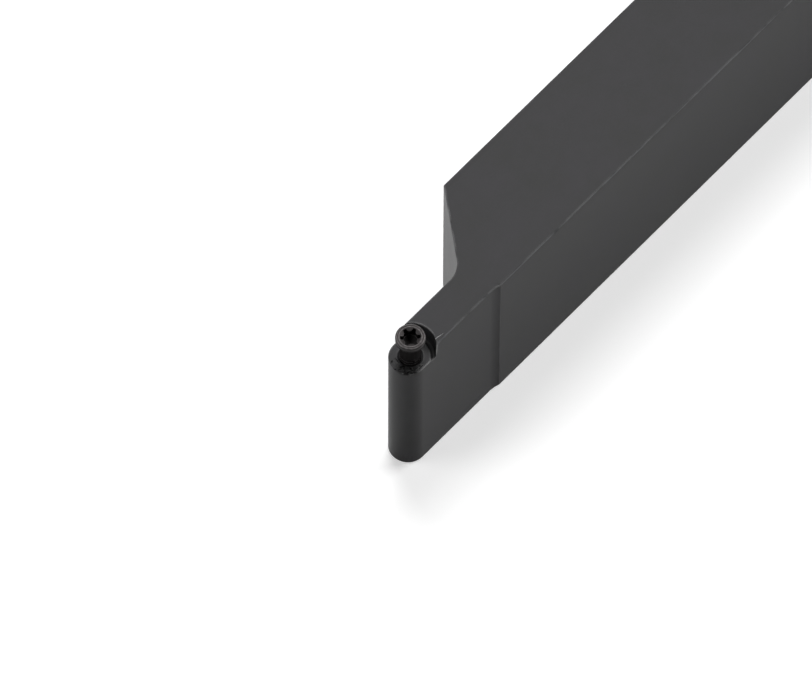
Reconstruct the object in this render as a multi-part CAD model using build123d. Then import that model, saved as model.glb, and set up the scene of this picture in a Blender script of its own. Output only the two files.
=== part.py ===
from build123d import *
import os
from math import asin, cos, radians, sin, sqrt, tan

# Turning tool holder for a small round screw-on insert, with the insert taken off.
# All lengths are millimetres and all angles are degrees.
# +X runs along the shank to the tip, +Y is the tool's left side and +Z is up.
# The origin is in the middle of the flat underside.

# Shank
HOLDER_LENGTH = 125.0
SHANK_HEIGHT = 20.0
SHANK_WIDTH = 12.0
SHANK_CHAMFER = 0.2
REAR_CHAMFER = 0.5

# Slim neck, set to the left so that its flank almost meets the shank's left side
NECK_WIDTH = 4.0
NECK_OFFSET = 3.75
NOSE_RADIUS = NECK_WIDTH / 2
NECK_EDGE_BREAK = 0.15

# Shoulder on the right side and shallow milled flank on the left side.
# Both setbacks are measured back from the nose axis.
SHOULDER_SETBACK = 16.3
SHOULDER_ANGLE = 50.0
SHOULDER_FILLET = 3.0
FLANK_SETBACK = 11.4
FLANK_CUTTER_RADIUS = 3.5

# Round insert that the pocket is cut for
INSERT_DIAMETER = 5.0
INSERT_THICKNESS = 2.38
INSERT_PROUD = 0.3

# Pocket: a drafted round wall at the back, and a flat seat that is open to the nose
POCKET_SETBACK = 0.2
POCKET_SHIFT_LEFT = 0.1
POCKET_CLEARANCE = 0.03
POCKET_DRAFT = 2.0

# Relief groove at the foot of the pocket wall, cut with a ball cutter
GROOVE_RADIUS = 0.3
GROOVE_DEPTH = 0.2
GROOVE_UNDERCUT = 0.05
GROOVE_HALF_ANGLE = 50.0
GROOVE_EXIT = 3.0

# Tapped hole, modelled plain at the thread's own size, with its countersunk mouth
THREAD_DIAMETER = 2.2
THREAD_CLEARANCE = 0.02
HOLE_DEPTH = 7.0
HOLE_POINT_ANGLE = 118.0
MOUTH_RADIUS = 1.33
MOUTH_ANGLE = 90.0

# Insert screw, standing partly screwed in
SCREW_LENGTH = 6.5
SCREW_TOP_ABOVE_SEAT = 3.88
SCREW_TIP_CHAMFER = 0.25
HEAD_RADIUS = 1.53
HEAD_EDGE_ROUND = 0.4
HEAD_BAND = 0.1
HEAD_CONE_ANGLE = 60.0

# Six-lobe socket in the screw's head
SOCKET_RADIUS = 1.04
SOCKET_LOBES = 6
SOCKET_RIB_RADIUS = 0.35
SOCKET_RIB_REACH = 0.74
SOCKET_DEPTH = 0.9
SOCKET_TURN = 17.0

# How far the cutting profile runs past the bar, so that it leaves the bar's own edges alone
PROFILE_OVERRUN = 2.0

# Sizes worked out from the ones above
HALF_LENGTH = HOLDER_LENGTH / 2
HALF_WIDTH = SHANK_WIDTH / 2
NOSE_X = HALF_LENGTH - NOSE_RADIUS
NECK_RIGHT = NECK_OFFSET - NECK_WIDTH / 2
NECK_LEFT = NECK_OFFSET + NECK_WIDTH / 2
POCKET_X = NOSE_X - POCKET_SETBACK
POCKET_Y = NECK_OFFSET + POCKET_SHIFT_LEFT
POCKET_RADIUS = INSERT_DIAMETER / 2 + POCKET_CLEARANCE
POCKET_DEPTH = INSERT_THICKNESS - INSERT_PROUD
SEAT_HEIGHT = SHANK_HEIGHT - POCKET_DEPTH
HOLE_RADIUS = THREAD_DIAMETER / 2 + THREAD_CLEARANCE
SCREW_RADIUS = THREAD_DIAMETER / 2 - THREAD_CLEARANCE
SCREW_TOP = SEAT_HEIGHT + SCREW_TOP_ABOVE_SEAT


def run_out_length(step):
    """Length along the shank in which the side cutter's arc climbs the given step."""
    return sqrt(2 * FLANK_CUTTER_RADIUS * step - step**2)


def flank_run_out():
    """Arc that the side cutter leaves where the left flank ends, from the flank out past the shank."""
    centre_x = NOSE_X - FLANK_SETBACK + run_out_length(HALF_WIDTH - NECK_LEFT)
    centre_y = NECK_LEFT + FLANK_CUTTER_RADIUS
    full_length = run_out_length(HALF_WIDTH + PROFILE_OVERRUN - NECK_LEFT)
    half_turn = asin(full_length / FLANK_CUTTER_RADIUS) / 2
    flank_end = (centre_x, NECK_LEFT)
    middle_x = centre_x - FLANK_CUTTER_RADIUS * sin(half_turn)
    middle_y = centre_y - FLANK_CUTTER_RADIUS * cos(half_turn)
    arc_end = (centre_x - full_length, HALF_WIDTH + PROFILE_OVERRUN)
    return flank_end, (middle_x, middle_y), arc_end


def cutting_profile():
    """Shoulder, neck, nose and flank seen from above, running out past the bar at its sides and rear."""
    side = HALF_WIDTH + PROFILE_OVERRUN
    rear = -HALF_LENGTH - PROFILE_OVERRUN
    slope = tan(radians(SHOULDER_ANGLE))
    shoulder_start = (NOSE_X - SHOULDER_SETBACK - PROFILE_OVERRUN / slope, -side)
    shoulder_end = (shoulder_start[0] + (NECK_RIGHT + side) / slope, NECK_RIGHT)
    flank_end, run_out_middle, arc_end = flank_run_out()
    with BuildSketch() as outline:
        with BuildLine():
            Polyline(
                arc_end,
                (rear, side),
                (rear, -side),
                shoulder_start,
                shoulder_end,
                (NOSE_X, NECK_RIGHT),
            )
            ThreePointArc((NOSE_X, NECK_RIGHT), (HALF_LENGTH, NECK_OFFSET), (NOSE_X, NECK_LEFT))
            Line((NOSE_X, NECK_LEFT), flank_end)
            ThreePointArc(flank_end, run_out_middle, arc_end)
        make_face()
        inner_corner = outline.vertices().sort_by_distance(shoulder_end)[0]
        fillet(inner_corner, SHOULDER_FILLET)
    return outline.sketch


def chamfered_bar():
    """Rectangular bar with its long edges and its rear end broken."""
    bar = Box(
        HOLDER_LENGTH,
        SHANK_WIDTH,
        SHANK_HEIGHT,
        align=(Align.CENTER, Align.CENTER, Align.MIN),
    )
    rear_edges = bar.faces().sort_by(Axis.X)[0].edges()
    bar = chamfer(rear_edges, REAR_CHAMFER)
    return chamfer(bar.edges().filter_by(Axis.X), SHANK_CHAMFER)


def holder_blank():
    """The bar cut to the profile, with the edges of the shoulder, neck and nose broken."""
    profile = extrude(cutting_profile(), SHANK_HEIGHT)
    rims = profile.edges().group_by(Axis.Z)
    return chamfered_bar() & chamfer(rims[0] + rims[-1], NECK_EDGE_BREAK)


def pocket_space():
    """Everything above the seat: the drafted round pocket and the open front."""
    reach_up = 2 * POCKET_DEPTH
    wall = Cone(
        POCKET_RADIUS,
        POCKET_RADIUS + reach_up * tan(radians(POCKET_DRAFT)),
        reach_up,
        align=(Align.CENTER, Align.CENTER, Align.MIN),
    )
    open_front = Box(
        2 * POCKET_RADIUS,
        2 * POCKET_RADIUS,
        reach_up,
        align=(Align.MIN, Align.CENTER, Align.MIN),
    )
    return wall + open_front


def relief_groove():
    """Path of a ball cutter round the foot of the wall, running out through both sides of the neck."""
    path_radius = POCKET_RADIUS + GROOVE_UNDERCUT - GROOVE_RADIUS
    cutter_height = GROOVE_RADIUS - GROOVE_DEPTH
    with BuildLine() as path:
        start_angle = 180.0 - GROOVE_HALF_ANGLE
        bend = CenterArc((0, 0, cutter_height), path_radius, start_angle, 2 * GROOVE_HALF_ANGLE)
        Line(bend @ 0 - (bend % 0) * GROOVE_EXIT, bend @ 0)
        Line(bend @ 1, bend @ 1 + (bend % 1) * GROOVE_EXIT)
    route = path.wire()
    cutter = Plane(origin=route @ 0, z_dir=route % 0) * Circle(GROOVE_RADIUS)
    return sweep(cutter, path=route)


def screw_hole():
    """Blind hole below the seat with a drill point and a countersunk mouth."""
    mouth_depth = (MOUTH_RADIUS - HOLE_RADIUS) / tan(radians(MOUTH_ANGLE / 2))
    point_depth = HOLE_RADIUS / tan(radians(HOLE_POINT_ANGLE / 2))
    with BuildSketch(Plane.XZ) as half_section:
        with BuildLine():
            Polyline(
                (0, 0),
                (MOUTH_RADIUS, 0),
                (HOLE_RADIUS, -mouth_depth),
                (HOLE_RADIUS, -HOLE_DEPTH),
                (0, -HOLE_DEPTH - point_depth),
                (0, 0),
            )
        make_face()
    return revolve(half_section.sketch, Axis.Z)


def make_holder():
    """The one-piece holder: bar, shoulder, neck, nose, pocket, groove and screw hole."""
    at_seat = Location((POCKET_X, POCKET_Y, SEAT_HEIGHT))
    holder = holder_blank() - at_seat * pocket_space()
    holder -= at_seat * relief_groove()
    holder -= at_seat * screw_hole()
    return holder


def screw_blank():
    """Screw without its socket, with the middle of its crown at the origin."""
    flat_radius = HEAD_RADIUS - HEAD_EDGE_ROUND
    rim_height = -HEAD_EDGE_ROUND
    cone_top = rim_height - HEAD_BAND
    cone_foot = cone_top - (HEAD_RADIUS - SCREW_RADIUS) / tan(radians(HEAD_CONE_ANGLE / 2))
    with BuildSketch(Plane.XZ) as half_section:
        with BuildLine():
            Line((0, 0), (flat_radius, 0))
            RadiusArc((flat_radius, 0), (HEAD_RADIUS, rim_height), HEAD_EDGE_ROUND)
            Polyline(
                (HEAD_RADIUS, rim_height),
                (HEAD_RADIUS, cone_top),
                (SCREW_RADIUS, cone_foot),
                (SCREW_RADIUS, SCREW_TIP_CHAMFER - SCREW_LENGTH),
                (SCREW_RADIUS - SCREW_TIP_CHAMFER, -SCREW_LENGTH),
                (0, -SCREW_LENGTH),
                (0, 0),
            )
        make_face()
    return revolve(half_section.sketch, Axis.Z)


def six_lobe_socket():
    """Socket cut downward from the crown: a round hole with a rib between each two lobes."""
    rib_distance = SOCKET_RIB_REACH + SOCKET_RIB_RADIUS
    half_pitch = 180.0 / SOCKET_LOBES
    ribs = PolarLocations(rib_distance, SOCKET_LOBES, start_angle=half_pitch)
    outline = Circle(SOCKET_RADIUS) - ribs * Circle(SOCKET_RIB_RADIUS)
    return extrude(Rot(0, 0, SOCKET_TURN) * outline, -SOCKET_DEPTH)


def make_insert_screw():
    """Countersunk screw with a rounded crown, upright over the seat."""
    screw = screw_blank() - six_lobe_socket()
    return Location((POCKET_X, POCKET_Y, SCREW_TOP)) * screw


def main():
    os.makedirs("parts", exist_ok=True)
    export_step(make_holder(), "parts/holder.step")
    export_step(make_insert_screw(), "parts/insert_screw.step")


main()
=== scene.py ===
import random
from math import cos, pi, radians, sin, sqrt, tan

import bmesh
import bpy
from mathutils import Matrix, Vector


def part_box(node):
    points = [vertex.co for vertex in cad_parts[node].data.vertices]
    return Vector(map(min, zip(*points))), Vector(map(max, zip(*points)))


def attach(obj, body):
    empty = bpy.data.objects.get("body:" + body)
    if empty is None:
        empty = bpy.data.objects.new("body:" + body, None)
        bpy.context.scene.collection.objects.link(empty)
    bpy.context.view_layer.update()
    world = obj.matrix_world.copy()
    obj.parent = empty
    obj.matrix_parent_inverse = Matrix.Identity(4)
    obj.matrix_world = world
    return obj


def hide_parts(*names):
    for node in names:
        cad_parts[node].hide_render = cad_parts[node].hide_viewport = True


# Looks of the turning tool holder and its insert screw.
# Blender works in metres; sizes below are written in millimetres times MM.
MM = 0.001

# Holder, as in the part: shank, neck, shoulder and milled flank
SHANK_CHAMFER = 0.2 * MM
REAR_CHAMFER = 0.5 * MM
NECK_WIDTH = 4.0 * MM
NECK_OFFSET = 3.75 * MM
NECK_EDGE_BREAK = 0.15 * MM
SHOULDER_SETBACK = 16.3 * MM
SHOULDER_ANGLE = radians(50)
SHOULDER_FILLET = 3.0 * MM
SHOULDER_FILLET_START = radians(140)
FLANK_SETBACK = 11.4 * MM
FLANK_CUTTER_RADIUS = 3.5 * MM
RUN_OUT_END = radians(-150)
NOSE_RADIUS = NECK_WIDTH / 2
PROFILE_OVERRUN = 2.0 * MM

# Pocket, relief groove and screw hole, as in the part
POCKET_SETBACK = 0.2 * MM
POCKET_SHIFT_LEFT = 0.1 * MM
POCKET_RADIUS = 2.53 * MM
POCKET_DEPTH = 2.08 * MM
POCKET_DRAFT = radians(2)
GROOVE_RADIUS = 0.3 * MM
GROOVE_DEPTH = 0.2 * MM
GROOVE_UNDERCUT = 0.05 * MM
GROOVE_HALF_ANGLE = radians(50)
GROOVE_EXIT = 3.0 * MM
HOLE_RADIUS = 1.12 * MM
HOLE_DEPTH = 7.0 * MM
HOLE_POINT_ANGLE = radians(118)
MOUTH_RADIUS = 1.33 * MM
MOUTH_ANGLE = radians(90)

# Hair-fine chamfer on the pocket's upper rim
POCKET_LIP = 0.06 * MM

# Small signs of use on the holder: a scratch by the pocket, and chips and dents at the seat's front.
# Each pair is the range of a random draw: arcs and turns in degrees, the reach in millimetres.
SCRATCH_START = Vector((-2.29, 1.34, 0)) * MM
SCRATCH_END = Vector((-3.40, 1.53, 0)) * MM
SCRATCH_WIDTH = 0.05 * MM
SCRATCH_DEPTH = 0.06 * MM
SCRATCH_END_SHARE = 0.3
CHIP_COUNT = 12
CHIP_SIZE = 0.12 * MM
CHIP_SEED = 7
CHIP_CORNERS = 14
CHIP_ARC = (-50, 65)
CHIP_SIZES = (0.5, 1.3)
CHIP_RAGGED = (0.7, 1.2)
DENT_COUNT = 26
DENT_LENGTH = 0.45 * MM
DENT_WIDTH = 0.10 * MM
DENT_DEPTH = 0.17 * MM
DENT_SEED = 3
DENT_ARC = (-30, 95)
DENT_REACH = (1.38, 2.05)
DENT_TURN = (-40, 40)
DENT_LENGTHS = (0.5, 1.2)
DENT_WIDTHS = (0.6, 1.3)
DENT_DEPTHS = (0.6, 1.2)
DENT_RISE = 0.02 * MM

# Insert screw: the part's sizes, with a crisper rim on its head and its real thread
SCREW_TOP_ABOVE_SEAT = 3.88 * MM
SCREW_LENGTH = 6.5 * MM
HEAD_RADIUS = 1.53 * MM
HEAD_EDGE_ROUND = 0.17 * MM
HEAD_BAND = 0.42 * MM
HEAD_CONE_FOOT = 1.28 * MM
HEAD_CONE_BLEND = 0.1 * MM
HEAD_CONE_FOOT_SHARE = 0.25
CROWN_RING_RADIUS = 1.27 * MM
CROWN_RING_WIDTH = 0.06 * MM
CROWN_RING_DEPTH = 0.025 * MM
SHANK_RADIUS = 1.08 * MM
THREAD_START = 3.0 * MM
THREAD_PITCH = 0.45 * MM
THREAD_DEPTH = 0.25 * MM
THREAD_FADE = 0.3 * MM
THREAD_CREST_SHARE = 0.12
THREAD_FLANK_SHARE = 0.76
TIP_CHAMFER = 0.25 * MM
SOCKET_RADIUS = 1.04 * MM
SOCKET_LOBES = 6
SOCKET_RIB_RADIUS = 0.35 * MM
SOCKET_RIB_REACH = 0.74 * MM
SOCKET_DEPTH = 0.9 * MM
SOCKET_FLOOR_RADIUS = 0.74 * MM
SOCKET_POINT = 0.65 * MM
SOCKET_TURN = radians(17)
SOCKET_MOUTH_RADIUS = 1.15 * MM
SOCKET_MOUTH_SLOPE = radians(22)
SOCKET_MOUTH_DROP = 0.2 * MM

# How finely round forms are divided
ROUND_STEPS = 96
SCREW_STEPS = 96
FILLET_STEPS = 16
RUN_OUT_STEPS = 24
GROOVE_BEND_STEPS = 32
GROOVE_STEPS = 24
RIM_STEPS = 8
SOCKET_STEPS = 180
ROWS_PER_PITCH = 12
BREAK_STEPS = 2
SMOOTH_ANGLE = radians(32)
FLAT_FACE_WEIGHT = 100

# Distances used while meshing: what counts as the same place, what is welded, and a cone's blunt tip
NEAR = 0.01 * MM
WELD = 0.0005 * MM
CONE_TIP = 0.02 * MM

# Camera: a long lens from high up on the tool's left front
CAMERA_AZIMUTH = radians(41.42)
CAMERA_ELEVATION = radians(60.10)
CAMERA_ROLL = radians(0.19)
CAMERA_DISTANCE = 1.8215
CAMERA_LENS = 804.0
CAMERA_SENSOR = 36.0
CAMERA_RIGHT = 2.58 * MM
CAMERA_UP = 8.60 * MM
CAMERA_NEAR = 0.1
CAMERA_FAR = 20

# Studio
FLOOR_HALF = 3.0
FLOOR_THICKNESS = 0.01
FLOOR_COLOUR = (0.7, 0.7, 0.7, 1)
FLOOR_GLOW = 0.47
WORLD_LIGHT = 0.02
LAMP_DISTANCE = 0.95
LAMP_SIZE = 0.5
KEY_AZIMUTH = radians(-138.6)
KEY_ELEVATION = radians(60)
KEY_POWER = 7.0
SIDE_AZIMUTH = radians(-45)
SIDE_ELEVATION = radians(45)
SIDE_POWER = 2.2
BACK_AZIMUTH = radians(156)
BACK_ELEVATION = radians(35)
BACK_POWER = 5.5

# Finishes
# Painted shade: near-black that the recess mask lays into hollows and corners
HOLLOW_SHADE_BLACK = (0.001, 0.001, 0.001, 1)
# Painted shade: dark colour of the screw below its head, where the head shades it
SHANK_SHADE_DARK = (0.018, 0.017, 0.017, 1)
# Paler thread crests in the shaded shank: partly worn metal, partly a painted highlight
CREST_WORN_AND_GLINT = (0.160, 0.152, 0.152, 1)
BLACK_DARK = (0.0255, 0.0255, 0.0255, 1)
BLACK_LIGHT = (0.034, 0.033, 0.036, 1)
BLACK_WORN = (0.150, 0.150, 0.150, 1)
# Paler tone of the broken edges: rubbed wear and painted light
BLACK_RUBBED_AND_LIT = (0.116, 0.116, 0.120, 1)
BARE_STEEL = (0.40, 0.40, 0.40, 1)
# Painted shade on the seat's front: its dark colour and its dull roughness
SEAT_SHADE_DARK = (0.008, 0.008, 0.008, 1)
SEAT_SHADE_ROUGHNESS = 0.9
BLACK_METALLIC = 0.0
BLACK_SPECULAR = 0.057
BLACK_ROUGHNESS = (0.36, 0.40)
SCREW_DARK = (0.017, 0.0155, 0.0155, 1)
SCREW_LIGHT = (0.029, 0.027, 0.027, 1)
# Lighter tone for the screw's worn edges, also used for the painted highlight rings on its crown
SCREW_WORN_AND_GLINT = (0.052, 0.049, 0.049, 1)
SCREW_METALLIC = 1.0
SCREW_SPECULAR = 0.0
SCREW_ROUGHNESS = (0.34, 0.46)

# Surface patterns of both steels: shares of patches and grain in the tone, and each group's values
PATCH_SHARE = 0.7
GRAIN_SHARE = 0.3
BLACK_MOTTLE = {"Patch Size": 5 * MM, "Grain Size": 0.12 * MM}
BLACK_WEAR = {"Reach": 0.32 * MM, "Break Up Size": 2.2 * MM, "Amount": 0.55}
# How far and how strongly painted shade darkens the holder's hollows
BLACK_RECESS = {"Distance": 0.3 * MM, "Strength": 0.5}
BLACK_GRAIN_HEIGHT = 0.004 * MM
SCREW_MOTTLE = {"Patch Size": 0.6 * MM, "Grain Size": 0.08 * MM}
SCREW_WEAR = {"Reach": 0.06 * MM, "Break Up Size": 0.25 * MM, "Amount": 0.55}
# How far and how strongly painted shade darkens the screw's socket and hollows
SCREW_RECESS = {"Distance": 1.2 * MM, "Strength": 1.0}
SCREW_GRAIN_HEIGHT = 0.003 * MM
# Mask values for the thread crests' paler colour, worn and painted highlight
CREST_WEAR_AND_GLINT = {"Reach": 0.06 * MM, "Break Up Size": 0.4 * MM, "Amount": 0.8}

# Masks. A pair of limits gives where a mask is 0 and where it is 1, or the other way round.
MASK_SAMPLES = 8
PATCH_DETAIL = 3.0
GRAIN_DETAIL = 2.0
BREAK_UP_DETAIL = 3.0
BREAK_UP_ROUGHNESS = 0.6
PATCH_LIMITS = (0.3, 0.7)
GRAIN_LIMITS = (0.25, 0.75)
EDGE_LIMITS = (0.998, 0.93)
WEAR_THRESHOLDS = (0.75, 0.25)
WEAR_LIMITS = (-0.1, 0.12)
OPEN_LIMITS = (0.25, 0.85)
# Painted highlight rings on the screw's crown, and how much it must face up to get them
CROWN_HIGHLIGHT_RINGS = ((1.13 * MM, 1.18 * MM), (1.38 * MM, 1.47 * MM))
RING_SOFT = 0.03 * MM
CROWN_FACING = (0.1, 0.5)
# Where the screw's painted shade starts within the head's band, and how softly it fades in
SHANK_SHADE_BAND_SHARE = 0.35
SHANK_SHADE_FADE = 0.25 * MM
# Where the broken edges get their paler colour, partly painted light: slant of the face, its softness,
# and reach from top and bottom
BREAK_SLANT = (0.2, 0.9)
BREAK_SLANT_SOFT = 0.08
BREAK_REACH = (0.25 * MM, 0.3 * MM)
BARE_LEAD = 0.25 * MM
BARE_SOFT = 0.1 * MM
BARE_SPREAD = 1.5
BARE_FACING = (0.95, 0.99)
BARE_REACH = (0.15 * MM, 0.1 * MM)
# Painted shade on the seat's front: its middle, reach, and depth band about the seat
SEAT_SHADE_SPOT = Vector((1.35, 0.8, 0)) * MM
SEAT_SHADE_REACH = (0.6 * MM, 1.3 * MM)
SEAT_SHADE_BELOW_SEAT = (0.45 * MM, 0.1 * MM)

# Patchy masks: size and detail of the patches, the noise levels they run between, and their least value
# Patches that break up the crown's painted highlight
CROWN_HIGHLIGHT_PATCHES = {"size": 0.3 * MM, "detail": 2.0, "roughness": 0.5, "limits": (0.35, 0.6), "least": 0.25}
BREAK_PATCHES = {"size": 2.5 * MM, "detail": 3.0, "roughness": 0.6, "limits": (0.35, 0.6), "least": 0.35}
# Patches that break up the seat's painted shade
SEAT_SHADE_PATCHES = {"size": 0.3 * MM, "detail": 3.0, "roughness": 0.6, "limits": (0.35, 0.55), "least": 0.25}

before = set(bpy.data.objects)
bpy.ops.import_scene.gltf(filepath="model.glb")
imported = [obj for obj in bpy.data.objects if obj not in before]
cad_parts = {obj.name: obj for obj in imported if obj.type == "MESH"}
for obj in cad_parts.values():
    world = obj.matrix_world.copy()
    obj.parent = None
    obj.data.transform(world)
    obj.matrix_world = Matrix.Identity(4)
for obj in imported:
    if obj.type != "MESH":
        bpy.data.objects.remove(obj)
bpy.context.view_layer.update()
HOLDER_LOW, HOLDER_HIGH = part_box("holder")
NOSE_X = HOLDER_HIGH.x - NOSE_RADIUS
TOP = HOLDER_HIGH.z
HALF_WIDTH = HOLDER_HIGH.y
SEAT = TOP - POCKET_DEPTH
NECK_RIGHT = NECK_OFFSET - NECK_WIDTH / 2
NECK_LEFT = NECK_OFFSET + NECK_WIDTH / 2
POCKET_X = NOSE_X - POCKET_SETBACK
POCKET_Y = NECK_OFFSET + POCKET_SHIFT_LEFT
POCKET_AXIS = Vector((POCKET_X, POCKET_Y, SEAT))
POCKET_TOP = Vector((POCKET_X, POCKET_Y, TOP))
CROWN = POCKET_AXIS + Vector((0, 0, SCREW_TOP_ABOVE_SEAT))
# Height below which the screw gets painted shade
SHANK_SHADE_HEIGHT = SEAT + SCREW_TOP_ABOVE_SEAT - HEAD_EDGE_ROUND - SHANK_SHADE_BAND_SHARE * HEAD_BAND


# ---------------------------------------------------------------- mesh helpers


def link(obj):
    bpy.context.scene.collection.objects.link(obj)
    return obj


def finish_mesh(name, bm):
    """Turns a bmesh into an object in the scene, with outward normals."""
    bmesh.ops.recalc_face_normals(bm, faces=bm.faces)
    mesh = bpy.data.meshes.new(name)
    bm.to_mesh(mesh)
    bm.free()
    return link(bpy.data.objects.new(name, mesh))


def arc(centre, radius, start, end, steps):
    """Points of a plan arc from angle start to angle end, both included."""
    angles = [start + (end - start) * i / steps for i in range(steps + 1)]
    return [(centre[0] + radius * cos(a), centre[1] + radius * sin(a)) for a in angles]


def prism(name, outline, low, high):
    """Upright solid with the given plan outline."""
    bm = bmesh.new()
    foot = [bm.verts.new((x, y, low)) for x, y in outline]
    head = [bm.verts.new((x, y, high)) for x, y in outline]
    bm.faces.new(foot)
    bm.faces.new(head)
    for i in range(len(outline)):
        after = (i + 1) % len(outline)
        bm.faces.new((foot[i], foot[after], head[after], head[i]))
    return finish_mesh(name, bm)


def turned(name, place, levels, steps):
    """Solid turned about the upright line through place.

    Each level is a height with a radius, or with a function that gives the radius at an angle."""
    bm = bmesh.new()
    rings = []
    for height, radius in levels:
        reach = radius if callable(radius) else lambda angle, fixed=radius: fixed
        angles = [2 * pi * i / steps for i in range(steps)]
        rings.append([bm.verts.new((reach(a) * cos(a), reach(a) * sin(a), height)) for a in angles])
    bm.faces.new(rings[0])
    bm.faces.new(rings[-1])
    for one, other in zip(rings, rings[1:]):
        for i in range(steps):
            after = (i + 1) % steps
            bm.faces.new((one[i], other[i], other[after], one[after]))
    bmesh.ops.translate(bm, vec=place, verts=bm.verts)
    return finish_mesh(name, bm)


def tube(name, path, radius, steps):
    """Round rod along level points, used as the path of a ball cutter."""
    bm = bmesh.new()
    rings = []
    for i, point in enumerate(path):
        ahead = (path[min(i + 1, len(path) - 1)] - path[max(i - 1, 0)]).normalized()
        side = Vector((0, 0, 1)).cross(ahead)
        ring = []
        for k in range(steps):
            angle = 2 * pi * k / steps
            offset = side * cos(angle) * radius + Vector((0, 0, radius * sin(angle)))
            ring.append(bm.verts.new(point + offset))
        rings.append(ring)
    bm.faces.new(rings[0])
    bm.faces.new(rings[-1])
    for one, other in zip(rings, rings[1:]):
        for k in range(steps):
            after = (k + 1) % steps
            bm.faces.new((one[k], other[k], other[after], one[after]))
    return finish_mesh(name, bm)


def combine(body, tool, how):
    """Cuts body with tool, or keeps what both share, and throws the tool away."""
    step = body.modifiers.new("cut", "BOOLEAN")
    step.operation = how
    step.solver = "EXACT"
    step.object = tool
    graph = bpy.context.evaluated_depsgraph_get()
    result = bpy.data.meshes.new_from_object(body.evaluated_get(graph))
    body.modifiers.clear()
    body.data = result
    bpy.data.objects.remove(tool)
    return body


def break_edges(body, chosen, width, steps):
    """Bevels the edges for which chosen(edge) is true."""
    bm = bmesh.new()
    bm.from_mesh(body.data)
    edges = [edge for edge in bm.edges if chosen(edge)]
    bmesh.ops.bevel(bm, geom=edges, offset=width, segments=steps, profile=0.5, affect="EDGES")
    bm.to_mesh(body.data)
    bm.free()
    return body


def shade(body, name):
    """Smooth shading with the real edges kept sharp."""
    body.name = name
    body.data.name = name
    bm = bmesh.new()
    bm.from_mesh(body.data)
    bmesh.ops.remove_doubles(bm, verts=bm.verts, dist=WELD)
    bmesh.ops.dissolve_degenerate(bm, edges=bm.edges, dist=WELD)
    bm.to_mesh(body.data)
    bm.free()
    body.data.shade_smooth()
    body.data.set_sharp_from_angle(angle=SMOOTH_ANGLE)
    level = body.modifiers.new("flat_faces_stay_flat", "WEIGHTED_NORMAL")
    level.mode = "FACE_AREA"
    level.weight = FLAT_FACE_WEIGHT
    level.keep_sharp = True
    return body


# ---------------------------------------------------------------- the holder


def at_height(edge, height):
    return all(abs(vert.co.z - height) < NEAR for vert in edge.verts)


def shank_bar():
    """Bar with its rear end and its long edges broken."""
    low, high = HOLDER_LOW, HOLDER_HIGH
    corners = [(low.x, low.y), (high.x, low.y), (high.x, high.y), (low.x, high.y)]
    bar = prism("bar", corners, low.z, high.z)
    rear = low.x + NEAR
    break_edges(bar, lambda edge: all(v.co.x < rear for v in edge.verts), REAR_CHAMFER, 1)
    long_edge = 0.5 * (high.x - low.x)
    return break_edges(bar, lambda edge: edge.calc_length() > long_edge, SHANK_CHAMFER, BREAK_STEPS)


def run_out_arc():
    """Arc that the side cutter leaves at the flank's end, from the flank out past the shank."""
    step = HALF_WIDTH - NECK_LEFT
    length = sqrt(2 * FLANK_CUTTER_RADIUS * step - step**2)
    centre = (NOSE_X - FLANK_SETBACK + length, NECK_LEFT + FLANK_CUTTER_RADIUS)
    return arc(centre, FLANK_CUTTER_RADIUS, radians(-90), RUN_OUT_END, RUN_OUT_STEPS)


def cutting_profile():
    """Shoulder, neck, nose and flank seen from above, running out past the bar."""
    side = HALF_WIDTH + PROFILE_OVERRUN
    rear = HOLDER_LOW.x - PROFILE_OVERRUN
    slope = tan(SHOULDER_ANGLE)
    shoulder_start = (NOSE_X - SHOULDER_SETBACK - PROFILE_OVERRUN / slope, -side)
    fillet_y = NECK_RIGHT - SHOULDER_FILLET
    rise = fillet_y + side
    offset = SHOULDER_FILLET / sin(SHOULDER_ANGLE)
    fillet_centre = (shoulder_start[0] + rise / slope + offset, fillet_y)
    outline = [(rear, side), (rear, -side), shoulder_start]
    outline += arc(fillet_centre, SHOULDER_FILLET, SHOULDER_FILLET_START, radians(90), FILLET_STEPS)
    nose = (NOSE_X, NECK_OFFSET)
    outline += arc(nose, NOSE_RADIUS, radians(-90), radians(90), ROUND_STEPS // 2)
    return outline + run_out_arc()


def profile_blank():
    """The cutting profile as a solid, with its upper and lower rims broken."""
    profile = prism("profile", cutting_profile(), HOLDER_LOW.z, HOLDER_HIGH.z)
    for height in (HOLDER_LOW.z, TOP):
        break_edges(profile, lambda edge: at_height(edge, height), NECK_EDGE_BREAK, BREAK_STEPS)
    return profile


def pocket_cutter():
    """Drafted round pocket with a hair-fine chamfer at its upper rim."""
    lip = POCKET_LIP
    rim = POCKET_RADIUS + (POCKET_DEPTH - lip) * tan(POCKET_DRAFT)
    above = 1.0 * MM
    levels = [
        (0, POCKET_RADIUS),
        (POCKET_DEPTH - lip, rim),
        (POCKET_DEPTH + above, rim + lip + above),
    ]
    return turned("pocket", POCKET_AXIS, levels, ROUND_STEPS)


def groove_cutter():
    """Ball cutter's path round the foot of the pocket wall and out through both sides."""
    reach = POCKET_RADIUS + GROOVE_UNDERCUT - GROOVE_RADIUS
    height = SEAT + GROOVE_RADIUS - GROOVE_DEPTH
    start, end = pi - GROOVE_HALF_ANGLE, pi + GROOVE_HALF_ANGLE
    plan = arc((POCKET_X, POCKET_Y), reach, start, end, GROOVE_BEND_STEPS)
    bend = [Vector((x, y, height)) for x, y in plan]
    lead_in = Vector((sin(start), -cos(start), 0)) * GROOVE_EXIT
    lead_out = Vector((-sin(end), cos(end), 0)) * GROOVE_EXIT
    route = [bend[0] + lead_in] + bend + [bend[-1] + lead_out]
    return tube("groove", route, GROOVE_RADIUS, GROOVE_STEPS)


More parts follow.
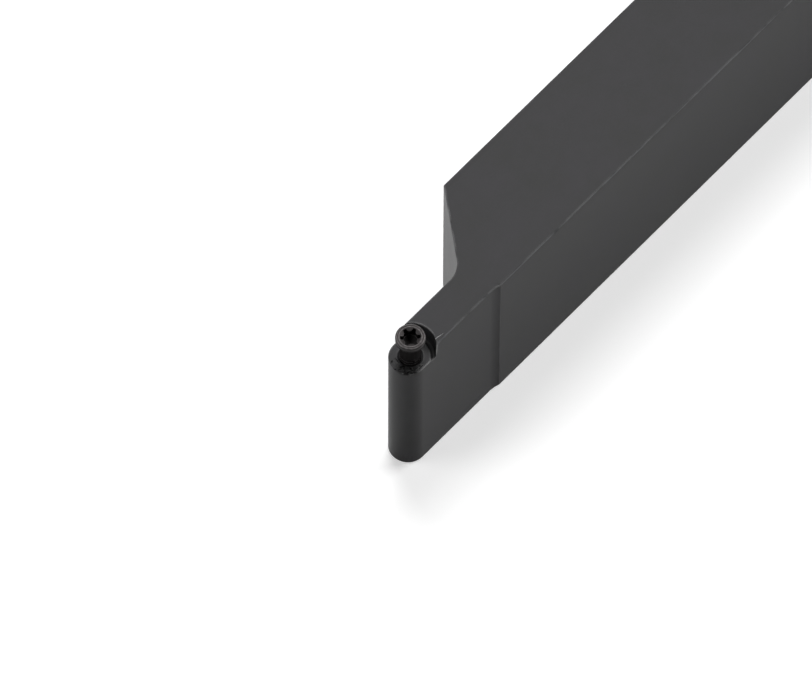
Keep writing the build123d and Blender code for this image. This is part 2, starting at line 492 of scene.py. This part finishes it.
def hole_cutter():
    """Blind screw hole with its drill point and countersunk mouth."""
    above = 0.5 * MM
    mouth = (MOUTH_RADIUS - HOLE_RADIUS) / tan(MOUTH_ANGLE / 2)
    point = HOLE_RADIUS / tan(HOLE_POINT_ANGLE / 2)
    levels = [
        (above, MOUTH_RADIUS + above * tan(MOUTH_ANGLE / 2)),
        (-mouth, HOLE_RADIUS),
        (-HOLE_DEPTH, HOLE_RADIUS),
        (-HOLE_DEPTH - point, CONE_TIP),
    ]
    return turned("hole", POCKET_AXIS, levels, ROUND_STEPS)


def hull(name, points):
    """Convex solid round a set of points."""
    bm = bmesh.new()
    for point in points:
        bm.verts.new(point)
    bmesh.ops.convex_hull(bm, input=bm.verts, use_existing_faces=False)
    loose = [vert for vert in bm.verts if not vert.link_faces]
    bmesh.ops.delete(bm, geom=loose, context="VERTS")
    return finish_mesh(name, bm)


def scratch_cutter():
    """Fine scratch in the top face, running back from the pocket's left corner."""
    start, end = SCRATCH_START, SCRATCH_END
    across = Vector((0, 0, 1)).cross((end - start).normalized()) * SCRATCH_WIDTH
    surface = Vector((POCKET_X, POCKET_Y, TOP + NEAR))
    deep = Vector((0, 0, -SCRATCH_DEPTH))
    points = [end, start + across, start - across, start + deep, end + SCRATCH_END_SHARE * deep]
    return hull("scratch", [surface + point for point in points])


def chip_cutters():
    """Small ragged chips along the front edge of the seat."""
    rng = random.Random(CHIP_SEED)
    for number in range(CHIP_COUNT):
        angle = radians(rng.uniform(*CHIP_ARC))
        edge = Vector((NOSE_X + NOSE_RADIUS * cos(angle), NECK_OFFSET + NOSE_RADIUS * sin(angle), SEAT))
        size = CHIP_SIZE * rng.uniform(*CHIP_SIZES)
        points = []
        for _ in range(CHIP_CORNERS):
            away = Vector([rng.uniform(-1, 1) for _ in range(3)]).normalized()
            points.append(edge + away * size * rng.uniform(*CHIP_RAGGED))
        yield hull(f"chip_{number}", points)


def dent_cutters():
    """Short sharp dents in the seat between the hole's mouth and the nose's edge."""
    rng = random.Random(DENT_SEED)
    for number in range(DENT_COUNT):
        angle = radians(rng.uniform(*DENT_ARC))
        reach = rng.uniform(*DENT_REACH) * MM
        heading = angle + radians(90 + rng.uniform(*DENT_TURN))
        along = Vector((cos(heading), sin(heading), 0)) * DENT_LENGTH * rng.uniform(*DENT_LENGTHS)
        across = Vector((-sin(heading), cos(heading), 0)) * DENT_WIDTH * rng.uniform(*DENT_WIDTHS)
        middle = POCKET_AXIS + Vector((cos(angle), sin(angle), 0)) * reach
        rise = Vector((0, 0, DENT_RISE))
        ends = [middle + along + rise, middle - along + rise]
        sides = [middle + across + rise, middle - across + rise]
        deep = Vector((0, 0, -DENT_DEPTH * rng.uniform(*DENT_DEPTHS)))
        yield hull(f"dent_{number}", ends + sides + [middle + deep, middle - deep])


def make_holder():
    """One-piece holder: bar, shoulder, neck, nose, pocket, groove and screw hole."""
    holder = combine(shank_bar(), profile_blank(), "INTERSECT")
    for cutter in (scratch_cutter(), pocket_cutter(), groove_cutter(), hole_cutter()):
        combine(holder, cutter, "DIFFERENCE")
    for mark in (*chip_cutters(), *dent_cutters()):
        combine(holder, mark, "DIFFERENCE")
    return shade(holder, "tool_holder_body")


# ---------------------------------------------------------------- the insert screw


def thread_radius(depth):
    """Radius of the screw at a depth below its crown, as a function of the angle."""
    tip = SCREW_LENGTH - TIP_CHAMFER
    fade_in = min(max((depth - THREAD_START) / THREAD_FADE, 0), 1)
    limit = SHANK_RADIUS - max(depth - tip, 0)

    def radius(angle):
        turn = (depth / THREAD_PITCH + angle / (2 * pi)) % 1.0
        flank = abs(2 * turn - 1)
        valley = min(max((flank - THREAD_CREST_SHARE) / THREAD_FLANK_SHARE, 0), 1)
        return min(SHANK_RADIUS - THREAD_DEPTH * valley * fade_in, limit)

    return radius


def head_levels():
    """Crown with its turned ring, rounded rim, band and cone, as depths below the crown."""
    flat = HEAD_RADIUS - HEAD_EDGE_ROUND
    levels = [
        (0, SOCKET_MOUTH_RADIUS * 0.5),
        (0, CROWN_RING_RADIUS - CROWN_RING_WIDTH),
        (CROWN_RING_DEPTH, CROWN_RING_RADIUS),
        (0, CROWN_RING_RADIUS + CROWN_RING_WIDTH),
    ]
    for i in range(RIM_STEPS + 1):
        angle = radians(90) * i / RIM_STEPS
        depth = HEAD_EDGE_ROUND * (1 - cos(angle))
        levels.append((depth, flat + HEAD_EDGE_ROUND * sin(angle)))
    cone_top = HEAD_EDGE_ROUND + HEAD_BAND
    blend = HEAD_CONE_BLEND
    lean = blend * (HEAD_RADIUS - SHANK_RADIUS) / (HEAD_CONE_FOOT - cone_top)
    levels.append((cone_top, HEAD_RADIUS))
    levels.append((HEAD_CONE_FOOT - blend, SHANK_RADIUS + lean))
    levels.append((HEAD_CONE_FOOT, SHANK_RADIUS + HEAD_CONE_FOOT_SHARE * lean))
    levels.append((HEAD_CONE_FOOT + blend, SHANK_RADIUS))
    return levels


def screw_blank():
    """Screw with its helical thread, before the socket is cut."""
    levels = head_levels()
    row = THREAD_PITCH / ROWS_PER_PITCH
    depth = THREAD_START
    while depth < SCREW_LENGTH - 0.5 * row:
        levels.append((depth, thread_radius(depth)))
        depth += row
    levels.append((SCREW_LENGTH, thread_radius(SCREW_LENGTH)))
    return turned("screw", CROWN, [(-depth, radius) for depth, radius in levels], SCREW_STEPS)


def socket_outline():
    """Six round lobes with a rounded rib between each two, as plan points about the axis."""
    rib_distance = SOCKET_RIB_REACH + SOCKET_RIB_RADIUS
    points = []
    for i in range(SOCKET_STEPS):
        angle = 2 * pi * i / SOCKET_STEPS
        nearest = round(angle * SOCKET_LOBES / (2 * pi) - 0.5) + 0.5
        off_rib = angle - nearest * 2 * pi / SOCKET_LOBES
        reach = SOCKET_RADIUS
        inside = SOCKET_RIB_RADIUS**2 - (rib_distance * sin(off_rib)) ** 2
        if inside > 0:
            reach = min(reach, rib_distance * cos(off_rib) - sqrt(inside))
        points.append((reach * cos(angle + SOCKET_TURN), reach * sin(angle + SOCKET_TURN)))
    return points


def socket_cutter():
    """The six-lobe socket, down to its floor."""
    above = 0.5 * MM
    outline = [(CROWN.x + x, CROWN.y + y) for x, y in socket_outline()]
    return prism("socket", outline, CROWN.z - SOCKET_DEPTH, CROWN.z + above)


def socket_mouth_cutter():
    """Shallow cone that breaks the socket's mouth."""
    drop = SOCKET_MOUTH_DROP
    above = 0.3 * MM
    spread = 1 / tan(SOCKET_MOUTH_SLOPE)
    levels = [
        (-drop, SOCKET_MOUTH_RADIUS - drop * spread),
        (above, SOCKET_MOUTH_RADIUS + above * spread),
    ]
    return turned("mouth", CROWN, levels, ROUND_STEPS)


def socket_point_cutter():
    """Cone left by the punch at the bottom of the socket."""
    bottom = -SOCKET_DEPTH
    above = 0.1 * MM
    levels = [
        (bottom + above, SOCKET_FLOOR_RADIUS),
        (bottom, SOCKET_FLOOR_RADIUS),
        (bottom - SOCKET_POINT, CONE_TIP),
    ]
    return turned("point", CROWN, levels, ROUND_STEPS // 2)


def make_insert_screw():
    """Countersunk screw with its socket, upright over the seat."""
    screw = screw_blank()
    for cutter in (socket_mouth_cutter(), socket_cutter(), socket_point_cutter()):
        combine(screw, cutter, "DIFFERENCE")
    return shade(screw, "insert_screw_threaded")


# ---------------------------------------------------------------- material helpers


def add_node(tree, kind, **settings):
    node = tree.nodes.new(kind)
    for name, value in settings.items():
        setattr(node, name, value)
    return node


def feed(tree, entry, value):
    """Gives an input socket a link from another socket, or a fixed value."""
    if isinstance(value, bpy.types.NodeSocket):
        tree.links.new(value, entry)
    else:
        entry.default_value = value


def calculate(tree, operation, first, second=0.0, clamp=False):
    """Output of a Math node working on sockets or numbers."""
    node = add_node(tree, "ShaderNodeMath", operation=operation, use_clamp=clamp)
    feed(tree, node.inputs[0], first)
    feed(tree, node.inputs[1], second)
    return node.outputs[0]


def rescale(tree, value, from_low, from_high, to_low, to_high):
    """Output of a Map Range node with its ends held."""
    node = add_node(tree, "ShaderNodeMapRange", clamp=True)
    for name, number in (
        ("Value", value),
        ("From Min", from_low),
        ("From Max", from_high),
        ("To Min", to_low),
        ("To Max", to_high),
    ):
        feed(tree, node.inputs[name], number)
    return node.outputs["Result"]


def ramp(tree, value, limits):
    """0 at the first limit and 1 at the second, held beyond them."""
    return rescale(tree, value, limits[0], limits[1], 0.0, 1.0)


def fall(tree, value, limits):
    """1 at the first limit and 0 at the second, held beyond them."""
    return rescale(tree, value, limits[0], limits[1], 1.0, 0.0)


def product(tree, first, *others):
    """All the given masks multiplied together."""
    for other in others:
        first = calculate(tree, "MULTIPLY", first, other)
    return first


def blend_colours(tree, factor, first, second):
    """Colour between first and second."""
    node = add_node(tree, "ShaderNodeMix", data_type="RGBA")
    feed(tree, node.inputs[0], factor)
    feed(tree, node.inputs[6], first)
    feed(tree, node.inputs[7], second)
    return node.outputs[2]


def new_group(name, inputs, outputs):
    """Node group with number inputs and outputs, and the nodes that stand for them."""
    group = bpy.data.node_groups.new(name, "ShaderNodeTree")
    for label, value in inputs:
        socket = group.interface.new_socket(label, in_out="INPUT", socket_type="NodeSocketFloat")
        socket.default_value = value
    for label in outputs:
        group.interface.new_socket(label, in_out="OUTPUT", socket_type="NodeSocketFloat")
    entry = add_node(group, "NodeGroupInput")
    leave = add_node(group, "NodeGroupOutput")
    return group, entry, leave


def place_group(tree, group, values):
    """Puts a group into a material with its own values."""
    node = add_node(tree, "ShaderNodeGroup", node_tree=group)
    for label, value in values.items():
        feed(tree, node.inputs[label], value)
    return node


def noise(tree, size, detail, roughness=0.5):
    """Noise over the piece's own coordinates, with features about as large as size."""
    place = add_node(tree, "ShaderNodeTexCoord")
    node = add_node(tree, "ShaderNodeTexNoise")
    tree.links.new(place.outputs["Object"], node.inputs["Vector"])
    feed(tree, node.inputs["Scale"], calculate(tree, "DIVIDE", 1.0, size))
    node.inputs["Detail"].default_value = detail
    node.inputs["Roughness"].default_value = roughness
    return node.outputs[0]


def uneven(tree, size, detail, roughness, limits, least):
    """Patchy mask that runs from its least value up to 1."""
    return rescale(tree, noise(tree, size, detail, roughness), limits[0], limits[1], least, 1.0)


def make_mottle_group():
    """Soft patches and fine grain of a blackened steel surface."""
    inputs = (("Patch Size", 4 * MM), ("Grain Size", 0.1 * MM))
    group, entry, leave = new_group("surface_mottle", inputs, ("Patches", "Grain"))
    patches = noise(group, entry.outputs["Patch Size"], PATCH_DETAIL)
    grain = noise(group, entry.outputs["Grain Size"], GRAIN_DETAIL)
    feed(group, leave.inputs["Patches"], ramp(group, patches, PATCH_LIMITS))
    feed(group, leave.inputs["Grain"], ramp(group, grain, GRAIN_LIMITS))
    return group


def make_wear_group():
    """Mask of the edges where handling has rubbed the black finish thin."""
    inputs = (("Reach", 0.1 * MM), ("Break Up Size", 0.5 * MM), ("Amount", 0.5))
    group, entry, leave = new_group("edge_wear", inputs, ("Worn",))
    rounded = add_node(group, "ShaderNodeBevel", samples=MASK_SAMPLES)
    feed(group, rounded.inputs["Radius"], entry.outputs["Reach"])
    surface = add_node(group, "ShaderNodeNewGeometry")
    compare = add_node(group, "ShaderNodeVectorMath", operation="DOT_PRODUCT")
    feed(group, compare.inputs[0], rounded.outputs["Normal"])
    feed(group, compare.inputs[1], surface.outputs["Normal"])
    edge = ramp(group, compare.outputs["Value"], EDGE_LIMITS)
    size = entry.outputs["Break Up Size"]
    patchy = noise(group, size, BREAK_UP_DETAIL, BREAK_UP_ROUGHNESS)
    threshold = rescale(group, entry.outputs["Amount"], 0.0, 1.0, *WEAR_THRESHOLDS)
    kept = calculate(group, "SUBTRACT", patchy, threshold)
    spots = ramp(group, kept, WEAR_LIMITS)
    feed(group, leave.inputs["Worn"], product(group, edge, spots))
    return group


def make_recess_group():
    """Mask for painted shade in corners and hollows, from ambient occlusion: 1 in the open and 0 deep
    inside.
    """
    inputs = (("Distance", 0.5 * MM), ("Strength", 1.0))
    group, entry, leave = new_group("recess_shade", inputs, ("Open",))
    hidden = add_node(group, "ShaderNodeAmbientOcclusion", samples=MASK_SAMPLES, only_local=False)
    feed(group, hidden.inputs["Distance"], entry.outputs["Distance"])
    openness = ramp(group, hidden.outputs["AO"], OPEN_LIMITS)
    closed = calculate(group, "SUBTRACT", 1.0, openness)
    lost = product(group, closed, entry.outputs["Strength"])
    feed(group, leave.inputs["Open"], calculate(group, "SUBTRACT", 1.0, lost))
    return group


def shader_of(material):
    """The material's node tree and its shader."""
    return material.node_tree, material.node_tree.nodes["Principled BSDF"]


def present(shader, entry):
    """The output that feeds one of the shader's inputs at present."""
    return shader.inputs[entry].links[0].from_socket


def tint(tree, shader, mask, colour):
    """Lays a colour over the present base colour where the mask is 1."""
    colours = blend_colours(tree, mask, present(shader, "Base Color"), colour)
    feed(tree, shader.inputs["Base Color"], colours)


def steel(name, tones, metallic, specular, roughness, sizes, wear, recess, bump):
    """Blackened steel: mottled colour and gloss, fine grain, painted shade in hollows and pale worn
    edges.
    """
    material = bpy.data.materials.new(name)
    material.use_nodes = True
    tree, shader = shader_of(material)
    shader.inputs["Metallic"].default_value = metallic
    shader.inputs["Specular IOR Level"].default_value = specular
    mottle = place_group(tree, MOTTLE, sizes)
    worn = place_group(tree, WEAR, wear).outputs["Worn"]
    dark, light, bare = tones
    patches, grain = mottle.outputs["Patches"], mottle.outputs["Grain"]
    broad = product(tree, patches, PATCH_SHARE)
    tone = calculate(tree, "ADD", broad, product(tree, grain, GRAIN_SHARE))
    colour = blend_colours(tree, worn, blend_colours(tree, tone, dark, light), bare)
    clear = place_group(tree, RECESS, recess).outputs["Open"]
    # Painted shade: the base colour turns near-black in hollows and corners
    feed(tree, shader.inputs["Base Color"], blend_colours(tree, clear, HOLLOW_SHADE_BLACK, colour))
    feed(tree, shader.inputs["Roughness"], rescale(tree, tone, 0.0, 1.0, roughness[0], roughness[1]))
    relief = add_node(tree, "ShaderNodeBump")
    relief.inputs["Strength"].default_value = 1.0
    relief.inputs["Distance"].default_value = bump
    feed(tree, relief.inputs["Height"], grain)
    feed(tree, shader.inputs["Normal"], relief.outputs["Normal"])
    return material


def height_of(tree, output):
    """Upward part of a coordinate or normal in the piece's own space."""
    place = add_node(tree, "ShaderNodeTexCoord")
    split = add_node(tree, "ShaderNodeSeparateXYZ")
    feed(tree, split.inputs[0], place.outputs[output])
    return split.outputs["Z"]


def radius_about(tree, axis):
    """Distance from an upright axis."""
    place = add_node(tree, "ShaderNodeTexCoord")
    apart = add_node(tree, "ShaderNodeVectorMath", operation="SUBTRACT")
    feed(tree, apart.inputs[0], place.outputs["Object"])
    apart.inputs[1].default_value = axis
    level = add_node(tree, "ShaderNodeVectorMath", operation="MULTIPLY")
    feed(tree, level.inputs[0], apart.outputs[0])
    level.inputs[1].default_value = (1, 1, 0)
    length = add_node(tree, "ShaderNodeVectorMath", operation="LENGTH")
    feed(tree, length.inputs[0], level.outputs[0])
    return length.outputs["Value"]


def band(tree, value, low, high, soft):
    """1 between low and high, with soft ends."""
    rising = ramp(tree, value, (low - soft, low))
    falling = fall(tree, value, (high, high + soft))
    return product(tree, rising, falling)


def paint_crown_highlights(material):
    """Painted highlight: bright rings on the upward-facing crown, broken into uneven patches."""
    tree, shader = shader_of(material)
    radius = radius_about(tree, POCKET_AXIS)
    inner, outer = [band(tree, radius, low, high, RING_SOFT) for low, high in CROWN_HIGHLIGHT_RINGS]
    rings = calculate(tree, "MAXIMUM", inner, outer)
    upward = ramp(tree, height_of(tree, "Normal"), CROWN_FACING)
    bright = product(tree, rings, upward, uneven(tree, **CROWN_HIGHLIGHT_PATCHES))
    # Painted highlight: lighter colour on the crown's rings
    tint(tree, shader, bright, SCREW_WORN_AND_GLINT)


def shade_shank_below(material, height, fade):
    """Painted shade below the screw's head: below a height the colour turns dark and the metal stops
    being metallic, with paler thread crests that are partly worn and partly a painted highlight.
    """
    tree, shader = shader_of(material)
    clean = present(shader, "Base Color")
    above = ramp(tree, height_of(tree, "Object"), (height - fade, height + fade))
    worn = place_group(tree, WEAR, CREST_WEAR_AND_GLINT).outputs["Worn"]
    # Thread crests painted paler as worn metal and a painted highlight
    shaded_shank = blend_colours(tree, worn, SHANK_SHADE_DARK, CREST_WORN_AND_GLINT)
    # Painted shade: dark, non-metallic colour below the height
    feed(tree, shader.inputs["Base Color"], blend_colours(tree, above, shaded_shank, clean))
    feed(tree, shader.inputs["Metallic"], above)


def lighten_and_rub_breaks(material):
    """Paler colour on the broken edges of the top and the underside: partly rubbed wear, partly painted
    light that keeps these slanted faces from shading darker than the top; uneven in patches.
    """
    tree, shader = shader_of(material)
    slant = calculate(tree, "ABSOLUTE", height_of(tree, "Normal"))
    slanted = band(tree, slant, *BREAK_SLANT, BREAK_SLANT_SOFT)
    height = height_of(tree, "Object")
    inner, outer = BREAK_REACH
    upper = ramp(tree, height, (TOP - outer, TOP - inner))
    lower = fall(tree, height, (inner, outer))
    rims = calculate(tree, "MAXIMUM", upper, lower)
    rubbed = product(tree, slanted, rims, uneven(tree, **BREAK_PATCHES))
    # Painted light and wear: paler colour on the slanted broken edges
    tint(tree, shader, rubbed, BLACK_RUBBED_AND_LIT)


def along_axis(tree, start, direction):
    """How far a point of the piece lies from start in a direction."""
    place = add_node(tree, "ShaderNodeTexCoord")
    apart = add_node(tree, "ShaderNodeVectorMath", operation="SUBTRACT")
    feed(tree, apart.inputs[0], place.outputs["Object"])
    apart.inputs[1].default_value = start
    reach = add_node(tree, "ShaderNodeVectorMath", operation="DOT_PRODUCT")
    feed(tree, reach.inputs[0], apart.outputs[0])
    reach.inputs[1].default_value = direction
    return reach.outputs["Value"]


def bare_scratch(material):
    """Bare steel in the scratch and at the pocket's corner where it starts."""
    tree, shader = shader_of(material)
    start = POCKET_TOP + SCRATCH_START
    line = SCRATCH_END - SCRATCH_START
    ahead = line.normalized()
    sideways = Vector((0, 0, 1)).cross(ahead)
    length = band(tree, along_axis(tree, start, ahead), -BARE_LEAD, line.length, BARE_SOFT)
    off_line = calculate(tree, "ABSOLUTE", along_axis(tree, start, sideways))
    width = fall(tree, off_line, (SCRATCH_WIDTH, BARE_SPREAD * SCRATCH_WIDTH))
    slanted = fall(tree, height_of(tree, "Normal"), BARE_FACING)
    low, high = [TOP - depth for depth in BARE_REACH]
    on_top = ramp(tree, height_of(tree, "Object"), (low, high))
    tint(tree, shader, product(tree, length, width, slanted, on_top), BARE_STEEL)


def shade_seat_front(material):
    """Painted shade, dark and dull, on the front of the seat, between the screw hole and the nose's edge.
    """
    tree, shader = shader_of(material)
    gloss = present(shader, "Roughness")
    near = fall(tree, radius_about(tree, POCKET_AXIS + SEAT_SHADE_SPOT), SEAT_SHADE_REACH)
    low, high = [SEAT - depth for depth in SEAT_SHADE_BELOW_SEAT]
    on_seat = ramp(tree, height_of(tree, "Object"), (low, high))
    painted_shade = product(tree, near, on_seat, uneven(tree, **SEAT_SHADE_PATCHES))
    # Painted shade: darker colour on the seat's front
    tint(tree, shader, painted_shade, SEAT_SHADE_DARK)
    dulling = product(tree, painted_shade, calculate(tree, "SUBTRACT", SEAT_SHADE_ROUGHNESS, gloss))
    feed(tree, shader.inputs["Roughness"], calculate(tree, "ADD", gloss, dulling))


# ---------------------------------------------------------------- studio


def make_camera():
    """Camera aimed at the foot of the nose, moved in its own plane to frame the tool."""
    flat = cos(CAMERA_ELEVATION)
    back = Vector((cos(CAMERA_AZIMUTH) * flat, sin(CAMERA_AZIMUTH) * flat, sin(CAMERA_ELEVATION)))
    level = Vector((-sin(CAMERA_AZIMUTH), cos(CAMERA_AZIMUTH), 0))
    upward = back.cross(level)
    right = level * cos(CAMERA_ROLL) + upward * sin(CAMERA_ROLL)
    up = upward * cos(CAMERA_ROLL) - level * sin(CAMERA_ROLL)
    data = bpy.data.cameras.new("camera")
    data.lens = CAMERA_LENS
    data.sensor_width = CAMERA_SENSOR
    data.clip_start = CAMERA_NEAR
    data.clip_end = CAMERA_FAR
    camera = link(bpy.data.objects.new("camera", data))
    target = Vector((NOSE_X, 0, 0))
    place = target + back * CAMERA_DISTANCE + level * CAMERA_RIGHT + upward * CAMERA_UP
    turn = Matrix((right, up, back)).transposed().to_4x4()
    camera.matrix_world = Matrix.Translation(place) @ turn
    bpy.context.scene.camera = camera


def seen_directly(tree):
    """1 where the eye, a reflection or a clear material looks, and 0 for the light on things."""
    path = add_node(tree, "ShaderNodeLightPath")
    camera, glossy = path.outputs["Is Camera Ray"], path.outputs["Is Glossy Ray"]
    seen = calculate(tree, "MAXIMUM", camera, glossy)
    return calculate(tree, "MAXIMUM", seen, path.outputs["Is Transmission Ray"])


def make_floor():
    """White floor that runs into the white background and keeps the tool's shadow."""
    half = FLOOR_HALF
    corners = [(-half, -half), (half, -half), (half, half), (-half, half)]
    floor = prism("floor", corners, -FLOOR_THICKNESS, 0)
    material = bpy.data.materials.new("floor_white")
    material.use_nodes = True
    tree = material.node_tree
    tree.nodes.clear()
    paint = add_node(tree, "ShaderNodeBsdfDiffuse")
    paint.inputs["Color"].default_value = FLOOR_COLOUR
    glow = add_node(tree, "ShaderNodeEmission")
    feed(tree, glow.inputs["Strength"], product(tree, seen_directly(tree), FLOOR_GLOW))
    both = add_node(tree, "ShaderNodeAddShader")
    feed(tree, both.inputs[0], paint.outputs[0])
    feed(tree, both.inputs[1], glow.outputs[0])
    out = add_node(tree, "ShaderNodeOutputMaterial")
    feed(tree, out.inputs["Surface"], both.outputs[0])
    floor.data.materials.append(material)


def make_world():
    """Dim even light, and pure white wherever the background is seen."""
    world = bpy.data.worlds.new("studio")
    bpy.context.scene.world = world
    world.use_nodes = True
    tree = world.node_tree
    tree.nodes.clear()
    backdrop = add_node(tree, "ShaderNodeBackground")
    backdrop.inputs["Color"].default_value = (1, 1, 1, 1)
    strength = rescale(tree, seen_directly(tree), 0.0, 1.0, WORLD_LIGHT, 1.0)
    feed(tree, backdrop.inputs["Strength"], strength)
    out = add_node(tree, "ShaderNodeOutputWorld")
    feed(tree, out.inputs["Surface"], backdrop.outputs[0])


def round_lamp(name, azimuth, elevation, power):
    """Round soft lamp in a direction from the nose's foot, aimed at it."""
    flat = cos(elevation)
    place = Vector((cos(azimuth) * flat, sin(azimuth) * flat, sin(elevation))) * LAMP_DISTANCE
    data = bpy.data.lights.new(name, "AREA")
    data.shape = "DISK"
    data.size = LAMP_SIZE
    data.energy = power
    lamp = link(bpy.data.objects.new(name, data))
    lamp.location = Vector((NOSE_X, 0, 0)) + place
    lamp.rotation_mode = "QUATERNION"
    lamp.rotation_quaternion = (-place).to_track_quat("-Z", "Y")
    lamp.visible_camera = False


def make_lamps():
    round_lamp("key_lamp", KEY_AZIMUTH, KEY_ELEVATION, KEY_POWER)
    round_lamp("side_lamp", SIDE_AZIMUTH, SIDE_ELEVATION, SIDE_POWER)
    round_lamp("back_lamp", BACK_AZIMUTH, BACK_ELEVATION, BACK_POWER)


# ---------------------------------------------------------------- putting it together

bpy.context.scene.view_settings.view_transform = "Standard"
make_camera()
make_floor()
make_world()
make_lamps()

MOTTLE = make_mottle_group()
WEAR = make_wear_group()
RECESS = make_recess_group()
black_steel = steel(
    "black_oxide_steel",
    (BLACK_DARK, BLACK_LIGHT, BLACK_WORN),
    BLACK_METALLIC,
    BLACK_SPECULAR,
    BLACK_ROUGHNESS,
    BLACK_MOTTLE,
    BLACK_WEAR,
    BLACK_RECESS,
    BLACK_GRAIN_HEIGHT,
)
screw_steel = steel(
    "dark_screw_steel",
    (SCREW_DARK, SCREW_LIGHT, SCREW_WORN_AND_GLINT),
    SCREW_METALLIC,
    SCREW_SPECULAR,
    SCREW_ROUGHNESS,
    SCREW_MOTTLE,
    SCREW_WEAR,
    SCREW_RECESS,
    SCREW_GRAIN_HEIGHT,
)

paint_crown_highlights(screw_steel)
shade_shank_below(screw_steel, SHANK_SHADE_HEIGHT, SHANK_SHADE_FADE)
lighten_and_rub_breaks(black_steel)
shade_seat_front(black_steel)
bare_scratch(black_steel)

holder = make_holder()
holder.data.materials.clear()
holder.data.materials.append(black_steel)
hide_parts("holder")
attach(holder, "holder")

screw = make_insert_screw()
screw.data.materials.clear()
screw.data.materials.append(screw_steel)
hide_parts("insert_screw")
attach(screw, "insert_screw")
